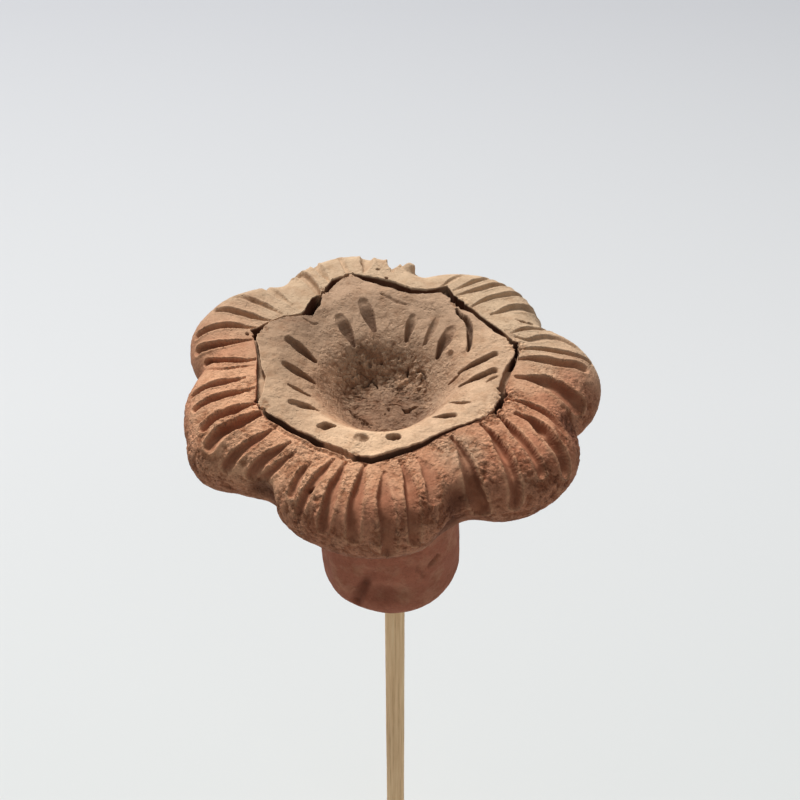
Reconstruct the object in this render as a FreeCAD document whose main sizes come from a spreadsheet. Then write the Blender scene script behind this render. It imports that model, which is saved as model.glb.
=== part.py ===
import FreeCAD, Part
import os
import Sketcher

# A hand-made clay stamp on a wooden stick. Millimetres, +Z up.
# The origin is the middle of the stick's lower end. The patterned face looks up.

Vector = FreeCAD.Vector

doc = FreeCAD.newDocument("clay_stamp")
sheet = doc.addObject("Spreadsheet::Sheet", "Sizes")

# ---------------------------------------------------------------- driving dimensions

PLAIN_SIZES = [
    # the stick, whose long point sits in a socket in the handle
    ("stick_width", 3.0),
    ("stick_length", 100.0),
    ("stick_bevel", 0.25),
    ("point_width", 0.8),
    ("seat_depth", 20.0),
    ("seat_gap", 0.1),
    # the handle, a stub of clay between the stick and the head
    ("handle_height", 30.0),
    ("handle_width", 19.8),
    ("handle_straight", 12.0),
    ("handle_round", 4.0),
    ("waist_width", 18.4),
    ("waist_rise", 19.0),
    ("waist_round", 12.0),
    ("root_width", 26.0),
    # the flower head
    ("head_height", 10.0),
    ("rim_round", 4.6),
    ("core_width", 31.0),
    # the knife cut that sets the star apart from the petals
    ("cut_width", 0.8),
    ("cut_depth", 3.0),
    # the bowl in the star, steep low down and flatter near its brim
    ("bowl_depth", 7.0),
    ("bowl_floor_width", 10.0),
    ("bowl_knee_width", 18.0),
    ("bowl_knee_rise", 4.6),
    ("bowl_brim_width", 28.0),
    ("bowl_round", 1.5),
    ("bowl_x", -1.2),
    ("bowl_y", 0.8),
    # grooves pressed over the petals with a round tool
    ("tool_width", 2.2),
    ("tool_start_width", 1.0),
    ("tool_lift", 0.45),
    ("groove_start", 3.0),
    ("groove_step", 19.0),
    ("groove_drop", 30.0),
    # pointed marks pressed into the wall of the bowl
    ("leaf_width", 1.7),
    ("leaf_depth", 0.8),
]

# each petal: direction from the middle in degrees, reach from the middle, own radius,
# how far its back and its face stop short of the head's, and its number of grooves
PETALS = [
    (2.0, 27.2, 10.1, 0.30, 0.15, 5),
    (52.7, 26.0, 11.8, 0.10, 0.35, 6),
    (108.8, 28.1, 11.8, 0.40, 0.20, 6),
    (151.7, 29.8, 11.2, 0.20, 0.40, 6),
    (203.2, 28.3, 12.2, 0.50, 0.10, 6),
    (261.2, 27.9, 14.4, 0.15, 0.25, 7),
    (318.7, 27.3, 11.9, 0.35, 0.05, 6),
]
PETAL_CELLS = ("angle", "reach", "radius", "low", "high", "grooves")

# corners of the star, tip and notch in turn, anticlockwise from the right-hand tip
STAR = [
    (16.2, 3.0),
    (9.8, 10.6),
    (7.4, 15.6),
    (2.4, 14.9),
    (-6.0, 18.3),
    (-11.2, 10.8),
    (-18.6, 7.5),
    (-17.2, 0.2),
    (-17.2, -8.2),
    (-9.2, -14.4),
    (-3.0, -18.0),
    (4.2, -14.9),
    (13.0, -10.0),
    (14.6, -3.0),
]

# pointed marks in the bowl: middle x and y, length, direction and slope in degrees
LEAVES = [
    (10.2, 1.0, 5.6, 18.0, 28.0),
    (10.6, -2.2, 5.0, 18.0, 28.0),
    (7.0, 6.5, 4.4, 55.0, 28.0),
    (5.2, 8.8, 3.2, 60.0, 28.0),
    (2.1, 9.9, 3.4, 75.0, 28.0),
    (-3.2, 11.6, 4.6, 112.0, 28.0),
    (-6.2, 9.2, 4.2, 112.0, 28.0),
    (-12.0, 4.0, 5.0, 147.0, 28.0),
    (-12.1, -0.9, 5.0, 149.0, 28.0),
    (-12.0, -5.0, 3.8, 157.0, 24.0),
    (-10.8, -8.4, 4.2, 148.0, 10.0),
    (-8.0, -11.6, 2.6, 160.0, 5.0),
    (6.0, -10.4, 3.6, 171.0, 0.0),
    (7.8, -7.3, 3.2, 15.0, -10.0),
]


def fill_sheet():
    """Write every driving dimension into its own named cell."""
    cells = list(PLAIN_SIZES)
    for number, petal in enumerate(PETALS, 1):
        for name, value in zip(PETAL_CELLS, petal):
            cells.append(("petal_%d_%s" % (number, name), value))
    for number, corner in enumerate(STAR, 1):
        for name, value in zip(("x", "y"), corner):
            cells.append(("star_%d_%s" % (number, name), value))
    for number, leaf in enumerate(LEAVES, 1):
        for name, value in zip(("x", "y", "length", "angle", "slope"), leaf):
            cells.append(("leaf_%d_%s" % (number, name), value))
    for row, (alias, value) in enumerate(cells, 1):
        sheet.set("A%d" % row, alias)
        sheet.set("B%d" % row, "%g" % value)
        sheet.setAlias("B%d" % row, alias)
    doc.recompute()


def value_of(expression):
    return float(sheet.evalExpression(expression))


# ---------------------------------------------------------------- ways of building

def bind(item, expressions):
    """Bind an object's properties to expressions of the sheet's cells."""
    for prop, expression in expressions.items():
        item.setExpression(prop, expression)
    return item


def add(kind, name, expressions):
    return bind(doc.addObject(kind, name), expressions)


def place(item, x="0", y="0", z="0", yaw="0", pitch="0", roll="0"):
    """Bind where an object stands. Yaw turns about Z, after pitch about Y, after roll about X."""
    return bind(item, {
        ".Placement.Base.x": x,
        ".Placement.Base.y": y,
        ".Placement.Base.z": z,
        ".Placement.Rotation.Yaw": "mod(%s + 540; 360) - 180" % yaw,
        ".Placement.Rotation.Pitch": pitch,
        ".Placement.Rotation.Roll": roll,
    })


def lay_down(item, x, y, z, heading):
    """Bind where an object stands, tipped over so that its own Z axis points along a heading."""
    return bind(item, {
        ".Placement.Base.x": x,
        ".Placement.Base.y": y,
        ".Placement.Base.z": z,
        ".Placement.Rotation.Axis.x": "0 - sin(%s)" % heading,
        ".Placement.Rotation.Axis.y": "cos(%s)" % heading,
        ".Placement.Rotation.Axis.z": "0",
        ".Placement.Rotation.Angle": "90",
    })


def fuse(name, shapes):
    item = doc.addObject("Part::MultiFuse", name)
    item.Shapes = shapes
    item.Refine = True
    return item


def cut(name, base, tool):
    item = doc.addObject("Part::Cut", name)
    item.Base = base
    item.Tool = tool
    item.Refine = True
    return item


def hold_corner(sketch, index, axis, expression):
    """Hold one corner of an outline at a bound distance along one axis of its sketch."""
    other_axis = {"DistanceX": -2, "DistanceY": -1}[axis]
    if expression == "0":
        sketch.addConstraint(Sketcher.Constraint("PointOnObject", index, 1, other_axis))
        return
    distance = Sketcher.Constraint(axis, -1, 1, index, 1, value_of(expression))
    number = sketch.addConstraint(distance)
    sketch.setExpression("Constraints[%d]" % number, expression)


def draw_outline(sketch, corners):
    """Draw straight edges round the corners, each a pair of expressions."""
    points = [Vector(value_of(across), value_of(along), 0) for across, along in corners]
    count = len(points)
    for index in range(count):
        sketch.addGeometry(Part.LineSegment(points[index], points[(index + 1) % count]), False)
    for index in range(count):
        sketch.addConstraint(Sketcher.Constraint("Coincident", index, 2, (index + 1) % count, 1))
    for index, (across, along) in enumerate(corners):
        hold_corner(sketch, index, "DistanceX", across)
        hold_corner(sketch, index, "DistanceY", along)


def side_profile(body, name, corners):
    """An outline in the body's XZ plane, each corner a distance from the axis and a height."""
    sketch = body.newObject("Sketcher::SketchObject", name)
    plane = [item for item in body.Origin.OriginFeatures if item.Role == "XZ_Plane"][0]
    sketch.AttachmentSupport = [(plane, "")]
    sketch.MapMode = "FlatFace"
    draw_outline(sketch, corners)
    return sketch


def turned_body(name, corners):
    """A body made by turning an outline once round the Z axis."""
    body = doc.addObject("PartDesign::Body", name)
    turn = body.newObject("PartDesign::Revolution", name + "_turn")
    turn.Profile = side_profile(body, name + "_outline", corners)
    turn.ReferenceAxis = (turn.Profile[0], ["V_Axis"])
    turn.Angle = 360.0
    body.Tip = turn
    doc.recompute()
    return body


def round_edges(body, name, rings, radius):
    """Round the circular edges at the given radii and heights, all pairs of expressions."""
    wanted = [(value_of(across), value_of(height)) for across, height in rings]
    sharp = body.Tip
    edges = []
    for number, edge in enumerate(sharp.Shape.Edges, 1):
        if not isinstance(edge.Curve, Part.Circle):
            continue
        middle = edge.Curve.Center
        for across, height in wanted:
            if abs(edge.Curve.Radius - across) < 0.01 and abs(middle.z - height) < 0.01:
                edges.append("Edge%d" % number)
    if len(edges) != len(wanted):
        raise ValueError("%s: %d edges for %d rings" % (name, len(edges), len(wanted)))
    rounding = body.newObject("PartDesign::Fillet", name)
    rounding.Base = (sharp, edges)
    bind(rounding, {"Radius": radius})
    body.Tip = rounding
    doc.recompute()


# ---------------------------------------------------------------- heights that several pieces share

fill_sheet()

HANDLE_LOW = "(Sizes.stick_length - Sizes.seat_depth)"
HEAD_LOW = "(Sizes.stick_length - Sizes.seat_depth + Sizes.handle_height)"
HEAD_TOP = "(Sizes.stick_length - Sizes.seat_depth + Sizes.handle_height + Sizes.head_height)"


# ---------------------------------------------------------------- the stick

def make_stick():
    """A round stick with a bevelled lower end and a long tapered point at the top."""
    return turned_body("stick", [
        ("0", "0"),
        ("Sizes.stick_width / 2 - Sizes.stick_bevel", "0"),
        ("Sizes.stick_width / 2", "Sizes.stick_bevel"),
        ("Sizes.stick_width / 2", HANDLE_LOW),
        ("Sizes.point_width / 2", "Sizes.stick_length"),
        ("0", "Sizes.stick_length"),
    ])


# ---------------------------------------------------------------- the handle

def make_handle():
    """A stub with a rounded lower end, a slight waist, and a tapered socket for the stick."""
    straight_end = HANDLE_LOW + " + Sizes.handle_straight"
    waist = HANDLE_LOW + " + Sizes.waist_rise"
    body = turned_body("handle", [
        ("0", HANDLE_LOW),
        ("Sizes.handle_width / 2", HANDLE_LOW),
        ("Sizes.handle_width / 2", straight_end),
        ("Sizes.waist_width / 2", waist),
        ("Sizes.root_width / 2", HEAD_LOW),
        ("0", HEAD_LOW),
    ])
    bottom_edge = [("Sizes.handle_width / 2", HANDLE_LOW)]
    waist_edges = [("Sizes.waist_width / 2", waist)]
    round_edges(body, "handle_bottom_round", bottom_edge, "Sizes.handle_round")
    round_edges(body, "handle_waist_round", waist_edges, "Sizes.waist_round")

    solid_volume = body.Tip.Shape.Volume
    mouth = "Sizes.stick_width / 2 + Sizes.seat_gap"
    inner_end = HANDLE_LOW + " + Sizes.seat_depth + 2 * Sizes.seat_gap"
    socket = body.newObject("PartDesign::Groove", "socket")
    socket.Profile = side_profile(body, "socket_outline", [
        ("0", HANDLE_LOW + " - 1"),
        (mouth, HANDLE_LOW + " - 1"),
        (mouth, HANDLE_LOW),
        ("Sizes.point_width / 2 + Sizes.seat_gap", inner_end),
        ("0", inner_end),
    ])
    socket.ReferenceAxis = (socket.Profile[0], ["V_Axis"])
    socket.Angle = 360.0
    body.Tip = socket
    doc.recompute()
    if body.Tip.Shape.Volume > solid_volume - 1:
        raise ValueError("the socket cut nothing")
    return body


# ---------------------------------------------------------------- the star with its bowl

def star_outline():
    sketch = doc.addObject("Sketcher::SketchObject", "star_outline")
    draw_outline(sketch, [
        ("Sizes.star_%d_x" % number, "Sizes.star_%d_y" % number)
        for number in range(1, len(STAR) + 1)
    ])
    bind(sketch, {".Placement.Base.z": HEAD_LOW})
    doc.recompute()
    return sketch


def raise_outline(name, outline, up, down="0"):
    """Extrude an outline up and down from where it lies."""
    item = doc.addObject("Part::Extrusion", name)
    item.Base = outline
    item.DirMode = "Custom"
    item.Dir = Vector(0, 0, 1)
    item.Solid = True
    return bind(item, {"LengthFwd": up, "LengthRev": down})


def bowl_tool():
    """The hollow of the bowl, carried on past its brim so that it cuts the face cleanly."""
    floor = HEAD_TOP + " - Sizes.bowl_depth"
    knee = floor + " + Sizes.bowl_knee_rise"
    tool = turned_body("bowl_hollow", [
        ("0", floor),
        ("Sizes.bowl_floor_width / 2", floor),
        ("Sizes.bowl_knee_width / 2", knee),
        ("Sizes.bowl_brim_width / 2", HEAD_TOP),
        ("Sizes.bowl_brim_width / 2", HEAD_TOP + " + 1"),
        ("0", HEAD_TOP + " + 1"),
    ])
    floor_edge = [("Sizes.bowl_floor_width / 2", floor)]
    round_edges(tool, "bowl_floor_round", floor_edge, "Sizes.bowl_round")
    return place(tool, "Sizes.bowl_x", "Sizes.bowl_y")


def leaf_tools():
    """Slim ellipsoids whose middles lie on the slope between the bowl's floor and its brim."""
    tools = []
    floor_radius = "Sizes.bowl_floor_width / 2"
    brim_radius = "Sizes.bowl_brim_width / 2"
    for number in range(1, len(LEAVES) + 1):
        cell = "Sizes.leaf_%d_" % number
        run = "hypot(%sx - Sizes.bowl_x; %sy - Sizes.bowl_y)" % (cell, cell)
        rise = "((%s - %s) / (%s - %s)) ^ 0.7" % (run, floor_radius, brim_radius, floor_radius)
        tool = add("Part::Ellipsoid", "leaf_%d" % number, {
            "Radius1": "Sizes.leaf_depth",
            "Radius2": cell + "length / 2",
            "Radius3": "Sizes.leaf_width / 2",
        })
        height = HEAD_TOP + " - Sizes.bowl_depth * (1 - " + rise + ")"
        place(tool, cell + "x", cell + "y", height, cell + "angle", "0 - %sslope" % cell)
        tools.append(tool)
    return tools


def make_star_cup(outline):
    """The star fills its hole in the petals low down and stands clear of it by the cut above."""
    inset = doc.addObject("Part::Offset2D", "star_inset")
    inset.Source = outline
    inset.Join = "Intersection"
    bind(inset, {"Value": "0 - Sizes.cut_width"})
    low_star = raise_outline("low_star", outline, "Sizes.head_height - Sizes.cut_depth")
    high_star = raise_outline("high_star", inset, "Sizes.head_height")
    block = fuse("star_block", [low_star, high_star])
    hollows = fuse("star_hollows", [bowl_tool()] + leaf_tools())
    return cut("star_cup", block, hollows)


# ---------------------------------------------------------------- the ring of petals

def groove_tools(number, count):
    """Grooves that fan out from a petal's middle and bend down over its rim."""
    cell = "Sizes.petal_%d_" % number
    middle = "(%sreach - %sradius)" % (cell, cell)
    flat = "(%sradius - Sizes.rim_round)" % cell
    top = "%s - %shigh" % (HEAD_TOP, cell)
    tools = []
    for index in range(count):
        turn = "(%sangle + (%g) * Sizes.groove_step)" % (cell, index - (count - 1) / 2)
        run = add("Part::Cone", "petal_%d_run_%d" % (number, index + 1), {
            "Radius1": "Sizes.tool_start_width / 2",
            "Radius2": "Sizes.tool_width / 2",
            "Height": flat + " - Sizes.groove_start",
        })
        lay_down(
            run,
            "%s * cos(%sangle) + Sizes.groove_start * cos(%s)" % (middle, cell, turn),
            "%s * sin(%sangle) + Sizes.groove_start * sin(%s)" % (middle, cell, turn),
            top + " + Sizes.tool_lift",
            turn,
        )
        bend = add("Part::Torus", "petal_%d_bend_%d" % (number, index + 1), {
            "Radius1": "Sizes.rim_round + Sizes.tool_lift",
            "Radius2": "Sizes.tool_width / 2",
            "Angle3": "90 + Sizes.groove_drop",
        })
        place(
            bend,
            "%s * cos(%sangle) + %s * cos(%s)" % (middle, cell, flat, turn),
            "%s * sin(%sangle) + %s * sin(%s)" % (middle, cell, flat, turn),
            top + " - Sizes.rim_round",
            turn,
            "Sizes.groove_drop",
            "90",
        )
        tools += [run, bend]
    return tools


def petal_pad(number):
    """One round pad of clay with a full rim."""
    cell = "Sizes.petal_%d_" % number
    name = "petal_%d" % number
    low = "%s + %slow" % (HEAD_LOW, cell)
    high = "%s - %shigh" % (HEAD_TOP, cell)
    pad = turned_body(name + "_pad", [
        ("0", low),
        (cell + "radius", low),
        (cell + "radius", high),
        ("0", high),
    ])
    rims = [(cell + "radius", low), (cell + "radius", high)]
    round_edges(pad, name + "_rim", rims, "Sizes.rim_round")
    return place(
        pad,
        "(%sreach - %sradius) * cos(%sangle)" % (cell, cell, cell),
        "(%sreach - %sradius) * sin(%sangle)" % (cell, cell, cell),
    )


def make_petal_ring(outline):
    """Pads run together round a core, a hole right through for the star, then the grooves."""
    core = add("Part::Cylinder", "core", {
        "Radius": "Sizes.core_width / 2",
        "Height": "Sizes.head_height",
    })
    place(core, z=HEAD_LOW)
    numbers = range(1, len(PETALS) + 1)
    flower = fuse("flower", [petal_pad(number) for number in numbers] + [core])
    hole = raise_outline("star_hole", outline, "Sizes.head_height + 1", "1")
    ring = cut("open_flower", flower, hole)
    for number, petal in enumerate(PETALS, 1):
        tools = fuse("petal_%d_grooves" % number, groove_tools(number, petal[-1]))
        ring = cut("petal_%d_pressed" % number, ring, tools)
    ring.Label = "petal_ring"
    return ring


# ---------------------------------------------------------------- put together, check and write

outline = star_outline()
pieces = [make_stick(), make_handle(), make_star_cup(outline), make_petal_ring(outline)]
doc.recompute()

for item in doc.Objects:
    if "Invalid" in item.State or "Error" in item.State:
        raise ValueError("%s: %s" % (item.Name, item.State))

os.makedirs("parts", exist_ok=True)
for piece in pieces:
    shape = piece.Shape
    if shape.isNull() or not shape.isValid() or len(shape.Solids) != 1:
        raise ValueError("%s isn't one valid solid" % piece.Label)
    shape.exportStep("parts/%s.step" % piece.Label)
    box = shape.BoundBox
    print(
        "%-12s %8.1f mm3  x %.2f..%.2f  y %.2f..%.2f  z %.2f..%.2f"
        % (piece.Label, shape.Volume, box.XMin, box.XMax, box.YMin, box.YMax, box.ZMin, box.ZMax)
    )
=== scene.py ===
import math

import bpy
import numpy as np
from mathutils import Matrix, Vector


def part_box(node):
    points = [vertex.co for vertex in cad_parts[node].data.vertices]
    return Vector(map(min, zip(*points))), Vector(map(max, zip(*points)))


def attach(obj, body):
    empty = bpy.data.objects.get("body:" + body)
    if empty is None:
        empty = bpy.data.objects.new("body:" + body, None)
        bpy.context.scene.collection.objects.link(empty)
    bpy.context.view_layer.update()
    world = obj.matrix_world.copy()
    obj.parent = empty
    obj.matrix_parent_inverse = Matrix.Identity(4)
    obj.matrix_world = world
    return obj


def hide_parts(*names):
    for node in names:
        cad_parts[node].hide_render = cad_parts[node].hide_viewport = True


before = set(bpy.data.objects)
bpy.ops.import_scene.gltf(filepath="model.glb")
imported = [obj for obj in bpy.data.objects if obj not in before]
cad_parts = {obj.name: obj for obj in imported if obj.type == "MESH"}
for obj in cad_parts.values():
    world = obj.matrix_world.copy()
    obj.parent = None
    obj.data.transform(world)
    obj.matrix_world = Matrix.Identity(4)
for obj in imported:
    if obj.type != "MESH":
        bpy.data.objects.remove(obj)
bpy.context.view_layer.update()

# Lengths below are millimetres unless a name says otherwise. MM turns them into metres.
MM = 0.001

# ---- sizes of the stamp

def measured(node, axis, end):
    """Where a solid of the frame begins (end 0) or stops (end 1) along an axis, to a tenth."""
    return round(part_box(node)[end][axis] / MM, 1)


STICK_RADIUS = measured("stick", 0, 1)
STICK_LENGTH = measured("stick", 2, 1)
HANDLE_LOW = measured("handle", 2, 0)
HEAD_LOW = measured("star_cup", 2, 0)
HEAD_TOP = measured("star_cup", 2, 1)
HEAD_MIDDLE = (HEAD_LOW + HEAD_TOP) / 2
POINT_RADIUS = 0.4      # of the stick's blunt tip
SEAT_GAP = 0.1          # between the stick and its socket
CUT_DEPTH = 3.0         # of the knife cut where it goes deepest
LIP = 0.12              # radius of the cut's softened edges
RIM_ROUND = 4.5         # radius of the petals' rims
BLEND = 1.2             # how far neighbouring petals run together
RIM_INSET = 5.0         # from the petals' outline to the line from which the rim is drawn
OUTLINE_FAR, FACE_FAR, RIM_FAR = 40.0, 9.0, 11.0    # where a line has left the clay
RING_COLUMNS, STAR_COLUMNS, HANDLE_COLUMNS, STICK_COLUMNS = 1080, 960, 360, 96

# the disc under the star that joins the petals: its x, radius, inset of both faces, rounding, dome
CORE = (-0.8, 16.5, 0.1, 2.0, 0.3)
PETAL_DOME = 0.25

# lobes that run together into the petals: direction in degrees, reach, own radius, and how far
# the underside and the face are set in
LOBES = [
    (2.1, 27.2, 10.1, 0.3, 0.15),
    (21.0, 23.0, 7.0, 0.3, 0.3),
    (52.9, 26.2, 11.7, 0.1, 0.35),
    (108.8, 28.2, 11.7, 0.4, 0.2),
    (151.4, 29.9, 11.2, 0.2, 0.4),
    (200.8, 27.8, 14.1, 0.5, 0.1),
    (209.2, 28.7, 5.0, 0.4, 0.3),
    (261.3, 28.0, 14.5, 0.15, 0.25),
    (318.4, 27.4, 11.6, 0.35, 0.05),
]

# the knife cut round the star, anticlockwise: x, y, its width before it opened, and its depth
STAR_CUT = [
    (15.0, -0.6, 0.8, 1.0), (15.7, 1.0, 0.45, 2.6), (16.1, 2.6, 0.4, 1.8),
    (15.9, 4.0, 0.6, 2.4), (15.0, 5.3, 0.22, 0.7), (13.7, 6.7, 0.65, 2.8),
    (12.4, 8.6, 0.55, 1.9), (10.6, 11.2, 0.75, 1.7), (9.0, 12.6, 1.15, 2.2),
    (7.9, 14.6, 0.8, 2.8), (6.9, 16.3, 1.3, 1.2), (4.3, 15.6, 0.9, 2.8),
    (2.2, 15.6, 0.95, 2.8), (0.0, 17.0, 1.25, 2.0), (-2.2, 17.9, 1.25, 2.0),
    (-4.4, 18.8, 0.9, 2.8), (-6.1, 19.8, 0.3, 0.9), (-7.1, 19.0, 0.55, 1.2),
    (-8.3, 18.0, 0.8, 2.8), (-9.3, 16.3, 0.6, 1.6), (-9.9, 15.0, 0.25, 0.5),
    (-10.6, 13.5, 1.2, 2.8), (-11.5, 10.9, 1.0, 2.4), (-12.4, 10.4, 0.45, 1.6),
    (-14.6, 10.2, 0.5, 1.8), (-16.9, 8.9, 0.3, 1.0), (-18.4, 7.1, 0.9, 3.0),
    (-18.4, 5.4, 0.2, 0.6), (-18.0, 3.6, 0.3, 1.6), (-17.5, 0.6, 0.35, 1.2),
    (-17.3, -1.2, 0.6, 1.4), (-16.9, -2.6, 0.9, 1.0), (-16.9, -5.2, 0.75, 1.2),
    (-17.0, -7.4, 0.4, 2.2), (-16.5, -8.9, 0.12, 0.3), (-15.3, -10.2, 0.68, 3.0),
    (-12.6, -12.7, 0.8, 3.0), (-10.7, -14.1, 0.8, 3.0), (-8.9, -15.3, 0.72, 2.8),
    (-8.4, -15.5, 0.68, 1.1), (-7.0, -16.1, 0.65, 1.1), (-5.2, -17.3, 0.53, 0.8),
    (-4.3, -17.7, 0.65, 2.6), (-2.7, -18.1, 0.72, 3.0), (-0.4, -17.2, 0.68, 3.0),
    (2.0, -16.1, 0.65, 3.0), (3.8, -15.1, 0.61, 3.0), (5.7, -13.7, 0.61, 3.0),
    (7.5, -12.6, 0.53, 2.8), (9.1, -11.8, 0.42, 2.4), (11.3, -10.4, 0.23, 1.6),
    (12.5, -9.5, 0.35, 1.6), (13.2, -8.2, 0.75, 2.8), (13.7, -6.8, 0.8, 2.8),
    (13.8, -4.6, 0.75, 1.2), (14.3, -2.8, 0.8, 0.9),
]
STAR_MIDDLE = (-1.2, 0.3)
CUT_OPENED = 1.22       # every part of the cut opened by this much as the clay dried
CUT_OPENED_BACK = 0.2   # and by so much more at the back

# grooves dragged outwards over the petals and down the rim: points, half width, depth.
# Past the rim the points go on as if the rim were rolled out flat.
GROOVES = [
    # right-hand petal
    ([(16.1, 5.4), (17.8, 4.8), (20.1, 5.6), (21.8, 5.7), (23.3, 5.1), (24.6, 4.3)], 0.7, 0.4),
    ([(16.1, 2.8), (17.8, 3.2), (19.6, 3.1), (21.4, 2.6),
      (23.1, 2.1), (24.6, 1.9), (26.0, 1.9)], 0.5, 0.65),
    ([(16.0, 1.0), (17.8, 1.2), (19.6, 0.8), (21.3, 0.2), (23.0, -0.1), (24.6, -0.3)], 0.8, 0.8),
    ([(15.8, -2.7), (17.3, -2.8), (19.2, -3.4),
      (20.5, -4.3), (22.0, -5.4), (23.8, -6.1)], 1.2, 1.05),
    ([(14.1, -7.1), (15.9, -7.5), (17.4, -8.4),
      (18.6, -9.3), (19.6, -10.3), (21.2, -12.3)], 0.55, 0.65),
    # front right-hand petal
    ([(15.2, -9.8), (16.9, -10.9), (18.0, -12.3),
      (19.0, -14.0), (20.3, -15.6), (21.8, -17.8)], 0.95, 1.25),
    ([(12.6, -9.6), (13.5, -10.9), (14.2, -12.0),
      (15.0, -13.5), (16.3, -16.0), (18.0, -19.2)], 0.62, 0.95),
    ([(10.8, -11.7), (11.9, -13.2), (12.6, -14.7),
      (13.2, -16.7), (14.2, -19.6), (15.6, -23.0)], 0.78, 1.15),
    ([(7.1, -14.3), (8.1, -16.2), (8.7, -18.1),
      (9.3, -20.2), (10.5, -22.6), (12.0, -24.6)], 0.88, 1.15),
    # front petal
    ([(3.0, -17.5), (4.0, -19.0), (4.5, -20.7), (4.8, -22.2), (4.9, -23.6)], 0.95, 0.5),
    ([(0.8, -17.9), (1.5, -19.6), (1.9, -21.3), (2.2, -24.3), (2.9, -29.4)], 0.8, 0.8),
    ([(-1.0, -20.0), (-1.1, -21.8), (-1.0, -24.2), (-0.6, -27.2), (-0.4, -31.2)], 0.95, 0.75),
    ([(-3.3, -18.6), (-3.7, -20.4), (-4.0, -22.8), (-4.5, -25.3), (-4.8, -28.8)], 0.85, 0.75),
    ([(-5.7, -18.4), (-6.3, -20.1), (-6.9, -22.3), (-7.5, -24.4), (-8.4, -27.2)], 0.8, 0.8),
    ([(-7.1, -17.8), (-8.1, -19.3), (-9.0, -20.9), (-9.9, -22.3), (-11.4, -24.7)], 0.7, 0.65),
    ([(-9.8, -18.3), (-10.7, -19.4), (-11.3, -20.5), (-12.2, -22.4)], 0.65, 0.6),
    # front left-hand petal
    ([(-11.7, -16.6), (-13.0, -17.5), (-14.4, -18.4), (-15.8, -19.0), (-17.2, -19.4)], 0.55, 0.5),
    ([(-12.5, -15.1), (-13.9, -16.0), (-15.4, -16.9), (-17.0, -17.9), (-18.1, -18.7)], 0.72, 0.7),
    ([(-14.3, -12.0), (-15.5, -13.1), (-17.3, -14.7), (-19.1, -15.9), (-21.0, -17.1)], 0.68, 0.65),
    ([(-14.9, -9.4), (-16.6, -9.7), (-18.1, -10.6),
      (-19.5, -11.8), (-21.1, -12.9), (-22.6, -14.4)], 0.92, 1.1),
    ([(-17.1, -7.6), (-19.0, -8.4), (-20.5, -9.4), (-22.0, -10.3), (-23.5, -11.6)], 0.78, 0.9),
    ([(-17.7, -4.8), (-19.4, -5.5), (-21.1, -6.1), (-22.9, -6.9), (-25.0, -7.8)], 0.62, 0.75),
    ([(-19.0, -2.7), (-21.1, -3.4), (-22.7, -3.9), (-24.5, -4.5), (-25.8, -4.8)], 0.65, 0.6),
    ([(-18.0, -0.3), (-19.5, -0.5), (-20.8, -0.8), (-22.3, -0.9), (-24.6, 0.3)], 0.25, 0.4),
    # back left-hand petal
    ([(-17.9, 0.9), (-19.2, 0.7), (-20.6, 0.7),
      (-22.1, 1.0), (-23.6, 1.7), (-25.2, 2.8)], 0.6, 1.0),
    ([(-18.3, 5.4), (-19.6, 5.1), (-21.1, 4.8),
      (-22.6, 4.7), (-24.2, 4.9), (-26.6, 5.6)], 0.66, 1.1),
    ([(-18.6, 7.9), (-20.0, 8.1), (-21.3, 8.4),
      (-22.5, 8.5), (-24.0, 8.3), (-26.6, 8.2)], 0.68, 1.0),
    ([(-16.6, 9.5), (-18.2, 10.0), (-19.6, 10.7),
      (-20.8, 11.3), (-22.6, 12.0), (-24.2, 12.4)], 0.62, 0.9),
    ([(-15.2, 10.9), (-16.8, 12.2), (-18.5, 13.4), (-20.2, 14.5), (-21.8, 15.4)], 0.52, 0.6),
    ([(-14.0, 12.8), (-15.4, 14.4), (-16.9, 16.2), (-18.1, 18.0), (-19.1, 19.8)], 0.62, 0.45),
    # back petal
    ([(-9.7, 13.7), (-10.7, 15.9), (-11.5, 17.6), (-12.5, 19.3), (-14.2, 22.2)], 0.72, 1.0),
    ([(-8.8, 17.6), (-9.4, 18.9), (-10.1, 20.3), (-11.2, 22.8), (-11.8, 25.2)], 0.6, 0.75),
    ([(-6.1, 18.9), (-6.4, 20.0), (-7.0, 21.7), (-7.8, 24.6)], 0.4, 0.5),
    ([(-4.2, 20.2), (-3.9, 21.8), (-3.9, 23.6), (-4.0, 26.5)], 0.9, 0.9),
    ([(-0.2, 20.6), (-0.2, 22.2), (-0.2, 24.0), (-0.1, 27.0)], 0.85, 1.6),
    # back right-hand petal
    ([(6.4, 17.0), (7.4, 18.0), (8.6, 19.3), (10.0, 21.0)], 0.45, 0.38),
    ([(8.2, 16.2), (9.9, 17.4), (11.5, 18.5), (13.2, 19.9), (15.0, 21.8)], 0.5, 0.52),
    ([(8.4, 15.0), (9.8, 15.7), (11.4, 16.3),
      (13.0, 17.1), (15.3, 18.6), (17.4, 20.6)], 0.55, 0.6),
    ([(10.4, 12.3), (12.0, 13.7), (13.5, 14.6),
      (15.3, 15.4), (17.9, 17.2), (20.0, 18.6)], 0.58, 0.62),
    ([(13.2, 10.6), (15.4, 11.9), (16.8, 12.5), (18.9, 13.6), (21.0, 15.0)], 0.85, 0.65),
    ([(16.4, 9.5), (17.0, 9.1), (17.6, 8.8), (18.6, 9.0)], 0.34, 0.9),
    ([(15.6, 6.2), (16.7, 6.9), (18.1, 7.4), (19.8, 8.0), (21.2, 8.8)], 0.5, 0.55),
]

GROOVE_WIDER, GROOVE_DEEPER = 1.04, 1.2     # for all of the grooves
GROOVE_LOW = 0.4        # the deepest line lies this share of the half width towards the steep side
LIGHT_SIDE = (0.93, 0.37)   # grooves that run this way are steep on their left, others right

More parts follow.
